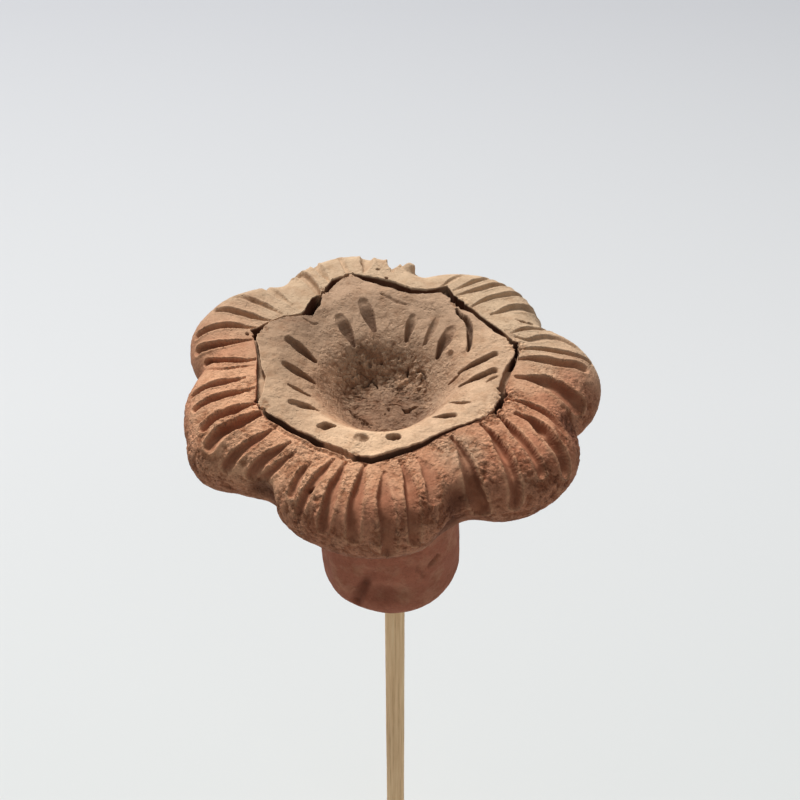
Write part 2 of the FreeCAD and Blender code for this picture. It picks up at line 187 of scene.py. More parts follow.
# hollows where neighbouring petals meet: place, reach, depth
HOLLOWS = [
    ((-15.9, -18.9, 114.6), 2.3, 1.4),
    ((7.4, -22.3, 116.6), 2.3, 1.4),
    ((8.2, -24.6, 112.4), 3.2, 2.0),
    ((22.0, -9.9, 117.6), 2.0, 1.0),
]

# small holes in the petals: place, radius, depth
HOLES = [
    ((-9.9, -22.2, 119.0), 0.4, 0.9), ((-9.5, -21.9, 119.2), 0.28, 0.7),
    ((8.3, -21.9, 117.4), 0.35, 0.8), ((13.0, -10.2, 120.0), 0.3, 0.8),
    ((13.9, -11.3, 120.0), 0.28, 0.7), ((-2.3, 21.0, 119.8), 0.35, 0.5),
    ((-1.1, 18.8, 119.8), 0.25, 0.4), ((16.0, 1.7, 120.0), 0.25, 0.7),
    ((17.6, 9.0, 119.6), 0.35, 0.8), ((-19.5, 6.6, 119.7), 0.3, 0.4),
]

# a knob of clay on the back petal: place, radius, height
KNOB = ((2.1, 22.3, 119.0), 1.25, 1.1)

# the burr that the knife raised along the front left of the cut: the headings in degrees between
# which it fades in and out; then the distance from the cut and height of its crest and its foot
BURR = ((217, 220), (252, 262))
BURR_ROWS = [(0.24, 0.16), (0.62, -0.12)]
BURR_WIDTH = 0.14

# crumbly places along the cut: place and reach
CRUMBLY = [
    (-17.9, 7.0, 1.8), (-16.8, -8.4, 2.0), (-5.0, -17.6, 1.8), (12.3, -9.9, 2.6),
    (14.0, -6.4, 2.0), (16.0, 3.6, 2.0), (8.8, 13.4, 2.0), (-9.6, 15.4, 1.6), (-6.3, 19.6, 1.3),
]

# the funnel of the star's face: floor circle, brim circle, and the bend between, which
# lies nearer the brim at the front: heading in degrees, distance from the floor's middle, rise
FLOOR_MIDDLE = (-1.1, -0.8)
FLOOR_RADIUS = 5.2
BRIM_MIDDLE = (-1.2, 0.9)
BRIM_RADIUS = 14.2
BOWL_DEPTH = 7.0
BENDS = [
    (-180, 9.0, 4.5), (-150, 9.8, 5.3), (-120, 11.6, 6.4), (-90, 12.0, 6.7), (-60, 10.4, 6.2),
    (-30, 9.5, 5.8), (0, 9.5, 5.0), (90, 9.5, 4.6), (180, 9.0, 4.5),
]

# marks pressed into the bowl: outer end, inner end, half width, depth, width left at each end
MARKS = [
    ((13.1, 2.0), (8.6, 0.45), 0.66, 1.15, 0.9, 0.4),
    ((8.4, 0.0), (7.3, -0.3), 0.3, 0.6, 0.6, 0.6),
    ((12.8, -1.4), (8.6, -2.35), 0.72, 1.15, 0.85, 0.3),
    ((13.2, -2.7), (11.8, -3.5), 0.25, 0.35, 0.5, 0.3),
    ((7.6, 8.2), (5.9, 4.9), 0.95, 1.0, 0.85, 0.4),
    ((5.9, 10.6), (4.2, 7.2), 0.6, 0.4, 0.7, 0.45),
    ((2.5, 11.2), (1.7, 8.2), 0.68, 0.8, 0.75, 0.4),
    ((-4.2, 13.5), (-2.7, 9.6), 0.95, 1.05, 0.85, 0.4),
    ((-7.3, 10.7), (-5.5, 7.3), 0.92, 1.1, 0.85, 0.4),
    ((-13.8, 5.3), (-10.5, 3.0), 0.78, 1.25, 0.85, 0.5),
    ((-13.9, 0.5), (-10.5, -0.95), 0.78, 1.25, 0.85, 0.45),
    ((-13.4, -3.5), (-10.8, -4.6), 0.42, 0.8, 0.5, 0.6),
    ((-12.6, -7.5), (-9.5, -8.1), 0.95, 0.95, 0.7, 0.2),
    ((-9.0, -12.15), (-7.3, -12.0), 0.85, 1.1, 0.45, 0.35),
    ((-4.2, -14.2), (-3.6, -14.3), 0.8, 0.5, 0.9, 0.9),
    ((-0.3, -14.1), (0.4, -14.1), 0.75, 1.0, 0.9, 0.8),
    ((7.4, -10.0), (5.0, -9.75), 0.72, 1.0, 0.7, 0.2),
    ((9.5, -7.4), (7.1, -6.7), 0.36, 0.55, 0.8, 0.2),
]

# narrow cuts and cracks in the star's face: points, half width, depth
CRACKS = [
    ([(8.4, 11.6), (9.0, 10.3), (9.7, 9.4), (10.1, 8.0),
      (10.1, 6.4), (10.0, 4.9), (9.8, 3.9)], 0.42, 1.5),
    ([(-1.8, 15.0), (-0.4, 14.2), (0.8, 13.5), (1.7, 13.2)], 0.3, 0.22),
    ([(-5.9, -1.3), (-5.4, -2.2), (-4.8, -2.8), (-3.9, -3.4), (-2.8, -4.3)], 0.2, 0.6),
    ([(-4.3, -3.7), (-3.5, -4.2), (-3.0, -4.8)], 0.12, 0.4),
    ([(1.1, -1.1), (1.5, -1.6), (1.9, -1.6), (2.3, -1.1), (3.1, -0.6)], 0.22, 0.7),
    ([(-1.1, -0.4), (-0.1, -0.1), (0.8, -0.2), (1.2, -0.9)], 0.12, 0.25),
    ([(-4.4, 3.2), (-3.6, 3.6), (-3.0, 4.3), (-2.4, 3.7), (-2.2, 3.1)], 0.22, 0.6),
    ([(1.9, 5.3), (1.8, 4.5)], 0.18, 0.5),
    ([(3.0, 4.6), (3.9, 4.2), (4.3, 3.2)], 0.2, 0.5),
    ([(-12.2, 9.6), (-11.0, 9.0), (-10.2, 9.2)], 0.22, 0.18),
]

# pits in the bowl: x, y, radius, depth
PITS = [
    (1.7, -1.6, 0.42, 0.7), (-0.7, -1.2, 0.28, 0.5), (-5.6, 2.8, 0.25, 0.5), (-1.7, 6.3, 0.25, 0.6),
    (-3.2, 5.9, 0.32, 0.6), (3.4, 2.4, 0.28, 0.5), (3.7, 3.7, 0.3, 0.6), (-6.1, 0.9, 0.25, 0.4),
    (-3.1, 4.5, 0.35, 0.7), (-1.1, -2.0, 0.18, 0.4), (-4.9, 4.6, 0.25, 0.5), (0.6, 6.6, 0.22, 0.4),
]

STAR_FOOT = HEAD_LOW + 0.4  # height of the star's underside
CUT_SHADE = 0.3         # how dark the cut's walls are where it is shallow, against 1 where deep
PALE_PATCH = (8.0, -16.5)   # middle of a pale place on the front petals

# a crumb stuck in the bowl's right wall: x, y, radius, height
CRUMB = (7.4, 4.5, 0.55, 0.5)

# the handle: its radius, how much that shrinks at the waist and grows into the head, the radius
# of the foot's edge on the right and what is missing from it on the left, and its shift to the left
HANDLE_RADIUS = 9.9
WAIST, FLARE = 0.4, 4.0
FOOT_ROUND, FOOT_ROUND_LESS = 4.4, 1.6
HANDLE_SHIFT = 0.6
HANDLE_INSIDE_HEAD = 0.6    # how far its upper end goes into the head

# the worn foot of the stick: radius and height
STICK_FOOT = [(0.9, 0.0), (1.25, 0.02), (1.42, 0.12), (STICK_RADIUS, 0.3)]

# a fold, a nick and a crease in the handle: the two ends, reach, depth
FOLD = ([(-3.3, -9.4, 90.2), (-5.6, -8.6, 83.0)], 1.2, 0.8)
NICK = ([(5.8, -7.5, 91.0), (5.3, -7.9, 90.5)], 0.6, 0.5)
CREASE = ([(3.7, -8.8, 91.0), (4.3, -8.6, 89.0)], 0.7, 0.25)

# a swelling and a dent in the handle's front: place, half sizes, height
SWELLING = ((-7.4, -7.0, 86.6), (2.4, 2.6, 4.2), 0.6)
DENT = ((-1.6, -9.6, 86.4), (4.2, 3.0, 2.2), -0.6)


# ---- numbers that look hand-made

def fade(low, high, value):
    """0 below low, 1 above high, and smooth between."""
    t = np.clip((value - low) / (high - low), 0.0, 1.0)
    return t * t * (3.0 - 2.0 * t)


def fall(low, high, value):
    """1 below low, 0 above high, and smooth between."""
    return 1.0 - fade(low, high, value)


class Noise:
    """Smooth seeded noise in three dimensions, about -1 to 1."""

    def __init__(self, seed):
        maker = np.random.default_rng(seed)
        self.size = 4096
        self.order = maker.permutation(self.size)
        slopes = maker.normal(size=(self.size, 3))
        self.slopes = slopes / np.linalg.norm(slopes, axis=1)[:, None]

    def hashed(self, x, y, z):
        size = self.size
        return self.order[(self.order[(self.order[x % size] + y) % size] + z) % size]

    def once(self, points):
        cell = np.floor(points).astype(np.int64)
        inside = points - cell
        ease = inside ** 3 * (inside * (inside * 6.0 - 15.0) + 10.0)
        total = np.zeros(len(points))
        for corner in range(8):
            step = np.array([corner & 1, (corner >> 1) & 1, (corner >> 2) & 1])
            at = cell + step
            slope = self.slopes[self.hashed(at[:, 0], at[:, 1], at[:, 2])]
            share = np.prod(np.where(step == 1, ease, 1.0 - ease), axis=1)
            total += share * np.einsum("ij,ij->i", slope, inside - step)
        return total * 1.6

    def __call__(self, points, width, octaves=1, gain=0.5):
        """Noise whose lumps are about width millimetres apart, with finer octaves on top."""
        total = np.zeros(len(points))
        strength = 1.0
        for octave in range(octaves):
            total += strength * self.once(points * (2.0 ** octave / width) + 17.3 * octave)
            strength *= gain
        return total

    def crumbs(self, points, width):
        """Distance to the nearest of many scattered seeds, 0 on a seed and about 1 far off."""
        spots = points / width
        cell = np.floor(spots).astype(np.int64)
        nearest = np.full(len(points), 9.0)
        for corner in range(27):
            at = cell + np.array([corner % 3, corner // 3 % 3, corner // 9]) - 1
            chosen = self.hashed(at[:, 0], at[:, 1], at[:, 2])
            seed = at + 0.5 + 0.45 * self.slopes[chosen]
            nearest = np.minimum(nearest, np.sum((spots - seed) ** 2, axis=1))
        return np.sqrt(nearest)


LUMPS = Noise(3)
GRAIN = Noise(11)
TEARS = Noise(29)


# ---- strokes pressed into the clay

def curve_through(points, per_span=8):
    """A smooth line through listed points."""
    known = np.array(points, dtype=float)
    first = 2 * known[0] - known[1]
    last = 2 * known[-1] - known[-2]
    known = np.vstack([first, known, last])
    made = []
    for a, b, c, d in zip(known[:-3], known[1:-2], known[2:-1], known[3:]):
        for t in np.arange(per_span) / per_span:
            made.append(0.5 * (
                2 * b + (c - a) * t + (2 * a - 5 * b + 4 * c - d) * t ** 2
                + (3 * b - a - 3 * c + d) * t ** 3
            ))
    made.append(known[-2])
    return np.array(made)


def near_stroke(plan, line, reach):
    """Which points lie within reach of a line, how far to its left, and how far along it."""
    box_low = line.min(axis=0) - reach
    box_high = line.max(axis=0) + reach
    chosen = np.where(np.all((plan > box_low) & (plan < box_high), axis=1))[0]
    spots = plan[chosen]
    starts = line[:-1]
    runs = line[1:] - starts
    lengths = np.linalg.norm(runs, axis=1)
    before = np.concatenate([[0.0], np.cumsum(lengths)[:-1]])
    offset = spots[:, None, :] - starts[None]
    share = np.clip(np.einsum("ijk,jk->ij", offset, runs) / lengths ** 2, 0.0, 1.0)
    gap = offset - share[:, :, None] * runs[None]
    distance = np.linalg.norm(gap, axis=2)
    best = distance.argmin(axis=1)
    row = np.arange(len(chosen))
    side = runs[best, 0] * gap[row, best, 1] - runs[best, 1] * gap[row, best, 0]
    signed = distance[row, best] * np.sign(side)
    along = (before[best] + share[row, best] * lengths[best]) / lengths.sum()
    return chosen, signed, along


# ---- meshes from grids of points

def circle(columns):
    """Even headings round a full turn, with their cosines and sines."""
    headings = np.arange(columns) / columns * 2 * math.pi
    return headings, np.cos(headings), np.sin(headings)


def grid_faces(rows, columns, close_rows=False):
    """Quads of a grid whose columns run round and join up."""
    last = rows if close_rows else rows - 1
    row = np.repeat(np.arange(last), columns)
    column = np.tile(np.arange(columns), last)
    up = (row + 1) % rows
    across = (column + 1) % columns
    corners = [(row, column), (row, across), (up, across), (up, column)]
    return np.stack([at * columns + where for at, where in corners], axis=1)


def closed_faces(rows, columns, downwards=False):
    """Quads of a grid, and a fan of triangles from each of its two ends to a hub.

    The hubs are the two points after the grid's own. downwards is for rows that turn the other way.
    """
    faces = grid_faces(rows, columns)
    sides = [(column, (column + 1) % columns) for column in range(columns)]
    if downwards:
        faces = faces[:, ::-1]
        sides = [(b, a) for a, b in sides]
    hub = rows * columns
    last_row = hub - columns
    fans = [(hub, b, a) for a, b in sides]
    fans += [(hub + 1, last_row + a, last_row + b) for a, b in sides]
    return faces, fans


def normals_of(grid, close_rows=False):
    """Unit normals of a grid of points, rows by columns by 3, joined up along its columns."""
    round_step = np.roll(grid, -1, axis=1) - np.roll(grid, 1, axis=1)
    if close_rows:
        up_step = np.roll(grid, -1, axis=0) - np.roll(grid, 1, axis=0)
    else:
        up_step = np.gradient(grid, axis=0)
    normal = np.cross(round_step, up_step)
    length = np.linalg.norm(normal, axis=2, keepdims=True)
    return normal / np.maximum(length, 1e-9)


def make_piece(name, points, faces, fans, marks):
    """A smooth-shaded mesh in metres. marks are named numbers, one for each point."""
    mesh = bpy.data.meshes.new(name)
    polygons = [tuple(face) for face in faces.tolist()] + fans
    mesh.from_pydata((points * MM).tolist(), [], polygons)
    mesh.validate()
    mesh.polygons.foreach_set("use_smooth", [True] * len(mesh.polygons))
    for mark, values in marks.items():
        layer = mesh.attributes.new(mark, "FLOAT", "POINT")
        layer.data.foreach_set("value", np.asarray(values, dtype=np.float32))
    mesh.update()
    piece = bpy.data.objects.new(name, mesh)
    bpy.context.scene.collection.objects.link(piece)
    return piece


# ---- the cut round the star

def crumbly_share(x, y):
    """How crumbly the clay is at a place: 1 in the crumbly places and 0 away from them."""
    share = np.zeros(len(x))
    for at_x, at_y, reach in CRUMBLY:
        share = np.maximum(share, fall(0.35 * reach, reach, np.hypot(x - at_x, y - at_y)))
    return share


def cut_outline(headings):
    """At each heading: the cut's inner and outer edge from the star's middle, and its depth."""
    corners = np.array(STAR_CUT)
    xs = corners[:, 0] - STAR_MIDDLE[0]
    ys = corners[:, 1] - STAR_MIDDLE[1]
    angles = np.unwrap(np.arctan2(ys, xs))
    start = angles[0]
    angles = np.append(angles, start + 2 * math.pi)
    xs = np.append(xs, xs[0])
    ys = np.append(ys, ys[0])
    widths = np.append(corners[:, 2], corners[0, 2])
    depths = np.append(corners[:, 3], corners[0, 3])
    wrapped = (headings - start) % (2 * math.pi) + start
    span = np.clip(np.searchsorted(angles, wrapped, side="right") - 1, 0, len(corners) - 1)
    ax, ay, bx, by = xs[span], ys[span], xs[span + 1], ys[span + 1]
    dx, dy = np.cos(headings), np.sin(headings)
    ex, ey = bx - ax, by - ay
    middle = (ax * ey - ay * ex) / (dx * ey - dy * ex)
    share = (wrapped - angles[span]) / (angles[span + 1] - angles[span])
    width = widths[span] * (1 - share) + widths[span + 1] * share
    depth = depths[span] * (1 - share) + depths[span + 1] * share
    facing = np.abs(dx * ey - dy * ex) / np.hypot(ex, ey)
    opened = CUT_OPENED + CUT_OPENED_BACK * fade(3.0, 9.0, dy * middle)
    half = 0.5 * width / np.maximum(facing, 0.5) * opened
    rim = np.stack([dx * middle, dy * middle, 0 * dx], axis=1)
    waver = 0.08 * LUMPS(rim, 2.2) + 0.05 * GRAIN(rim, 0.8)
    jagged = crumbly_share(rim[:, 0] + STAR_MIDDLE[0], rim[:, 1] + STAR_MIDDLE[1])
    inner = middle - half + waver + (0.07 + 0.36 * jagged) * GRAIN(rim + 40.0, 0.75, 2)
    outer = middle + half + waver + (0.04 + 0.36 * jagged) * GRAIN(rim + 80.0, 0.75, 2)
    return inner, np.maximum(outer, inner + 0.06), depth


# ---- the ring of petals

def soft_least(a, b, blend):
    """The lesser of two distances, with the corner between them filled over a blend length."""
    share = np.clip(0.5 + 0.5 * (b - a) / blend, 0.0, 1.0)
    return b * (1 - share) + a * share - blend * share * (1 - share)


def rounded_disc(x, y, z, radius, low, high, rounding, crown):
    """Signed distance to a thick disc with rounded rims and slightly domed faces."""
    out = np.hypot(x, y)
    half = (high - low) / 2 - crown * (out / radius) ** 2
    across = out - (radius - rounding)
    up = np.abs(z - (low + high) / 2) - (half - rounding)
    outside = np.hypot(np.maximum(across, 0), np.maximum(up, 0))
    return outside + np.minimum(np.maximum(across, up), 0) - rounding


def flower_distance(x, y, z):
    """Signed distance to the petals run together round a core."""
    core_x, radius, inset, rounding, dome = CORE
    total = rounded_disc(
        x - core_x, y, z, radius, HEAD_LOW + inset, HEAD_TOP - inset, rounding, dome,
    )
    for angle, reach, radius, low, high in LOBES:
        turn = math.radians(angle)
        out = reach - radius
        petal = rounded_disc(
            x - out * math.cos(turn), y - out * math.sin(turn), z,
            radius, HEAD_LOW + low, HEAD_TOP - high, RIM_ROUND, PETAL_DOME,
        )
        total = soft_least(total, petal, BLEND)
    return total


def march(start, heading, far):
    """Where lines from inside the flower leave it."""
    near = np.zeros(len(start))
    beyond = np.full(len(start), far)
    for _ in range(18):
        middle = (near + beyond) / 2
        spot = start + heading * middle[:, None]
        inside = flower_distance(spot[:, 0], spot[:, 1], spot[:, 2]) < 0
        near = np.where(inside, middle, near)
        beyond = np.where(inside, beyond, middle)
    return start + heading * near[:, None]


def groove_depths(plan):
    """At each point: depth of the dragged grooves, height of their lips, share of steep wall.

    Each groove is steep on its back or left side and rises gently on the other.
    """
    depth, lip, wall = np.zeros((3, len(plan)))
    spots = np.column_stack([plan, np.zeros(len(plan))])
    for number, (route, half, deep) in enumerate(GROOVES):
        line = curve_through(route)
        chosen, side, along = near_stroke(plan, line, half * 2.6)
        ragged = 1.0 + 0.1 * GRAIN(spots[chosen] + 9.0 * number, 1.1, 2)
        width = GROOVE_WIDER * half * (0.36 + 0.64 * fade(0.0, 0.45, along)) * ragged
        run = line[-1] - line[0]
        steep = 1.0 if run[0] * LIGHT_SIDE[0] + run[1] * LIGHT_SIDE[1] > 0 else -1.0
        leaning = side * steep / width
        across = np.abs(leaning)

        # the bed: a quick rise on the steep side of its deepest line and a slow one on the other
        quick = (np.maximum(leaning - GROOVE_LOW, 0) / (1.0 - GROOVE_LOW)) ** 2.4
        slow = (np.maximum(GROOVE_LOW - leaning, 0) / (1.0 + GROOVE_LOW)) ** 1.7
        bed = np.where(leaning > GROOVE_LOW, quick, slow)
        waver = 1.0 + 0.2 * LUMPS(spots[chosen] + 7.0 * number, 2.5)
        start = 0.4 + 0.6 * fade(0.0, 0.3, along)
        start *= 1.0 - 0.3 * fade(0.8, 1.05, along)
        inside = np.where(across < 1.0, np.clip(1.0 - bed, 0.0, 1.0), 0.0)
        depth[chosen] = np.maximum(depth[chosen], GROOVE_DEEPER * deep * waver * start * inside)

        ridge = 0.13 * deep * np.exp(-((across - 1.15) / 0.3) ** 2) * fade(0.05, 0.4, along)
        lip[chosen] = np.maximum(lip[chosen], ridge)

        steepest = fade(0.2, 0.65, leaning) * fall(0.9, 1.02, leaning)
        steepest *= fade(0.0, 0.15, along) * fall(0.85, 1.05, along)
        steepest *= min(1.0, GROOVE_DEEPER * deep)
        wall[chosen] = np.maximum(wall[chosen], steepest)
    return depth, lip * fall(0.02, 0.15, depth), wall


def broad_dents(points):
    """The slow unevenness of clay squeezed by hand."""
    return 0.15 * LUMPS(points, 7.0) + 0.06 * LUMPS(points + 31.0, 2.4)


def fine_relief(points, rough, crumbly):
    """Grain, crumbs and flaked patches, more where the clay is rough or crumbly."""
    flaked = fade(0.1, 0.24, TEARS(points + 33.0, 1.5, 2))
    loose = np.clip(0.5 - TEARS.crumbs(points, 0.55), -0.35, 1)
    creased = np.clip(1 - 8.0 * np.abs(TEARS(points + 12.0, 1.5, 2)), 0, 1)
    return (
        (0.015 + 0.05 * rough) * GRAIN(points, 0.9, 3, 0.65)
        + 0.13 * rough * (0.55 - GRAIN.crumbs(points, 0.52))
        - 0.11 * rough * flaked
        - 0.13 * rough * creased
        + 0.5 * crumbly * loose
    )


def cut_darkness(z, top, cut_depth):
    """Painted shade on the cut's wall: more of it down from its top edge, and where the cut is
    deep.
    """
    rows = len(z) // len(top)
    shade = CUT_SHADE + (1 - CUT_SHADE) * fade(0.8, 2.4, cut_depth)
    return fade(0.02, 0.3, np.tile(top, rows) - z) * np.tile(shade, rows)


def petal_rows(edge, dx, dy):
    """The ring's plain skin, row by row: up the cut's wall, over the face and rim, back below.

    Also: the number of the face's first row and of the first row below, how rough the clay of
    each row is, and the height of the face along the cut.
    """
    up = np.array([0.0, 0.0, 1.0])
    level = np.stack([dx, dy, 0 * dx], axis=1)
    origin = np.tile([*STAR_MIDDLE, HEAD_MIDDLE], (len(edge), 1))
    rows, rough = [], []

    def at(distance, height):
        return origin + level * distance[:, None] + up * (height - HEAD_MIDDLE)

    def skin(distance, sign):
        return march(at(distance, HEAD_MIDDLE), np.tile(up * sign, (len(edge), 1)), FACE_FAR)

    def add(row, roughness, height=None):
        if height is not None:
            row[:, 2] = height
        rows.append(row)
        rough.append(roughness)

    # the smooth middle line of the petals, from which the rim is drawn
    outline = np.linalg.norm(march(origin, level, OUTLINE_FAR) - origin, axis=1)
    kernel = np.hanning(69)
    kernel /= kernel.sum()
    margin = len(kernel)
    padded = np.concatenate([outline[-margin:], outline, outline[:margin]])
    smooth = np.convolve(padded, kernel, mode="same")[margin:-margin]
    spine = np.maximum(np.minimum(smooth, outline) - RIM_INSET, edge + 0.8)

    top = skin(edge + LIP, 1)[:, 2]
    foot = HEAD_LOW + 0.6
    low = HEAD_TOP - CUT_DEPTH
    for share in np.linspace(0, 1, 4)[:-1]:
        add(at(edge, foot + share * (low - foot)), 0.0)
    for share in np.linspace(0, 1, 16)[:-1]:
        add(at(edge, 0.0), 0.6, low + share * (top - LIP - low))
    for turn in np.radians([0.0, 25.0, 50.0, 75.0]):
        add(at(edge + LIP * (1 - math.cos(turn)), 0.0), 0.4, top - LIP * (1 - math.sin(turn)))
    first_face = len(rows)
    for share in np.linspace(0, 1, 66)[:-1] ** 1.25:
        add(skin(edge + LIP + share * (spine - edge - LIP), 1), 1.0)
    for turn in np.radians(np.linspace(90, -90, 96)):
        heading = level * math.cos(turn) + up * math.sin(turn)
        add(march(at(spine, HEAD_MIDDLE), heading, RIM_FAR), 1.0)
    first_below = len(rows)
    for share in np.linspace(1, 0, 14)[1:]:
        add(skin(edge + share * (spine - edge), -1), 0.4)
    return np.array(rows), first_face, first_below, rough, top


def petal_features(points, from_edge, heading, on_face):
    """The hollows, holes, knob and burr: how far they move the skin, and the first two's shares."""
    push, hollow, hole = np.zeros((3, len(points)))
    for place, radius, amount in HOLLOWS:
        near = np.exp(-(np.linalg.norm(points - place, axis=1) / radius) ** 2)
        push -= amount * near
        hollow = np.maximum(hollow, fade(0.12, 0.75, near))
    for place, radius, amount in HOLES:
        away = np.linalg.norm(points - place, axis=1) + 0.15 * GRAIN(points, 0.6)
        near = fall(0.4 * radius, 1.25 * radius, away)
        push -= amount * near
        hole = np.maximum(hole, near)
    place, radius, amount = KNOB
    away = np.hypot(*(points - place).T[:2]) + 0.3 * np.abs(points[:, 2] - place[2])
    push += amount * fall(0.28 * radius, radius, away) * on_face
    there = fade(*BURR[0], heading) * fall(*BURR[1], heading) * on_face
    for distance, amount in BURR_ROWS:
        push += amount * there * np.exp(-((from_edge - distance) / BURR_WIDTH) ** 2)
    return push, hollow, hole


def petal_ring():
    """Points, faces, end fans (none) and marks of the ring of petals."""
    headings, dx, dy = circle(RING_COLUMNS)
    _, edge, cut_depth = cut_outline(headings)
    grid, first_face, first_below, rough, top = petal_rows(edge, dx, dy)
    count, columns = grid.shape[:2]
    normal = -normals_of(grid, close_rows=True).reshape(-1, 3)
    points = grid.reshape(-1, 3)
    x, y, z = points.T
    row = np.repeat(np.arange(count), columns)
    on_face = (row >= first_face) & (row < first_below)

    # the face and rim rolled out flat, measured from the star's middle
    steps = np.linalg.norm(np.diff(grid[first_face:first_below], axis=0), axis=2)
    reach = np.zeros((count, columns))
    reach[first_face] = edge + LIP
    reach[first_face + 1:first_below] = edge + LIP + np.cumsum(steps, axis=0)
    rolled = np.stack([STAR_MIDDLE[0] + dx * reach, STAR_MIDDLE[1] + dy * reach], axis=2)
    from_edge = (reach - edge).reshape(-1)

    # grooves, shallower at the back
    depth, ridges, wall = np.zeros((3, len(points)))
    grooves = groove_depths(rolled.reshape(-1, 2)[on_face])
    depth[on_face], ridges[on_face], wall[on_face] = grooves
    behind = fade(6.0, 15.0, y)
    depth *= 1 - 0.3 * behind
    # sunk: the share of painted shade in the grooves, less at the back
    sunk = np.clip(depth / 0.6, 0, 1) * (1 - 0.45 * behind)
    wall *= 1 - 0.5 * behind
    heading = np.degrees(np.tile(headings, count))
    push, hollow, hole = petal_features(points, from_edge, heading, on_face)
    push += ridges - depth

    # rough clay, mostly in front between the grooves
    front = fall(-14.0, 6.0, y)
    worked = fade(0.25, 0.75, 0.5 + 0.9 * LUMPS(points + 60.0, 5.0))
    rough = np.repeat(rough, columns) * (1 - 0.9 * sunk) * (0.25 + 0.75 * front)
    rough *= np.clip(0.35 + 0.55 * worked + 0.3 * fall(115.0, 118.5, z), 0, 1)
    rough *= 1 - 0.85 * fall(111.0, 114.5, z)
    crumbly = crumbly_share(x, y) * on_face * (1 - 0.6 * sunk)
    fine = fine_relief(points, rough, crumbly)
    free = np.where(on_face | (z < HEAD_MIDDLE), 1.0, 0.3)
    moved = points + normal * (push + (broad_dents(points) + fine) * free)[:, None]

    # dark: painted shade in the cut's walls, low on the rim in patches and streaks, most in front,
    # in the hollows and holes and on the grooves' steep walls; a little darker on the back left
    # petals
    walls = ~on_face & (z > HEAD_LOW + 1)
    patches = 0.06 * fade(-22.0, -8.0, x) + 0.18 * LUMPS(points + 8.0, 2.6)
    streaks = GRAIN(points * [1.0, 1.0, 0.2], 0.9, 2)
    painted_shade = fall(112.0, 117.0, z) * patches
    painted_shade += (0.14 + 0.38 * streaks) * front * fall(112.0, 115.5, z)
    painted_shade += 0.32 * front * fall(111.5, 114.5, z)
    back_left = fall(-18.0, -11.0, x) * fade(-4.0, 3.0, y)
    deep = np.maximum.reduce([
        walls * cut_darkness(z, top, cut_depth), np.clip(painted_shade, 0, 1) * on_face,
        0.8 * hollow, 0.36 * wall, 0.14 * back_left * on_face, hole,
    ])

    # pale dust at the back and right; and paler edges along the cut, widest on the left: worn, and
    # painted light on the flat tops that face the lamp; the grooves' lips paler too
    x, y, z = moved.T
    dusted = y + np.where(x > 0, 0.28, 0.12) * x - 0.45 * (np.hypot(x, y) - 17.0)
    pale = fade(-5.0, 12.0, dusted + 2.5 * LUMPS(moved, 6.0))
    patch = fall(1.5, 4.0, np.hypot(x - PALE_PATCH[0], y - PALE_PATCH[1]))
    pale = np.maximum(pale, 0.45 * patch) * (1 - 0.4 * sunk * front)
    worn_and_lit_width = 9.0 + 7.0 * fall(-16.0, -4.0, x)
    worn = fall(1.0, worn_and_lit_width, from_edge + 1.5 * LUMPS(moved + 12.0, 4.0)) * on_face
    worn *= 0.55 + 0.8 * fall(-12.0, 8.0, x) * fall(-6.0, 4.0, y)
    worn = np.clip(worn + 0.35 * ridges / 0.1, 0, 1) * (1 - 0.8 * sunk)
    marks = {
        "sunk": np.maximum(sunk, 0.4 * hollow), "deep": deep, "rough": rough,
        "pale": pale, "worn": worn, "relief": fine / 0.12,
    }
    return moved, grid_faces(count, columns, close_rows=True), [], marks


# ---- the star cup

def bowl_height(x, y):
    """Height of the star's face: a floor, a wall with a bend in it, and the brim."""
    dx, dy = x - FLOOR_MIDDLE[0], y - FLOOR_MIDDLE[1]
    out = np.hypot(dx, dy)
    away = np.maximum(out, 1e-6)
    ox, oy = FLOOR_MIDDLE[0] - BRIM_MIDDLE[0], FLOOR_MIDDLE[1] - BRIM_MIDDLE[1]
    along = (ox * dx + oy * dy) / away
    brim = np.sqrt(along ** 2 + BRIM_RADIUS ** 2 - ox ** 2 - oy ** 2) - along
    heading, bend, rise = np.array(BENDS).T
    turn = np.degrees(np.arctan2(dy, dx))
    bend = np.interp(turn, heading, bend)
    rise = np.interp(turn, heading, rise)
    wall = soft_least(
        (out - FLOOR_RADIUS) * rise / (bend - FLOOR_RADIUS),
        rise + (out - bend) * (BOWL_DEPTH - rise) / (brim - bend), 0.8,
    )
    wall = soft_least(wall, BOWL_DEPTH + 0 * out, 0.3)
    wall = -soft_least(-wall, 0 * out, 0.8)
    return HEAD_TOP - BOWL_DEPTH + wall


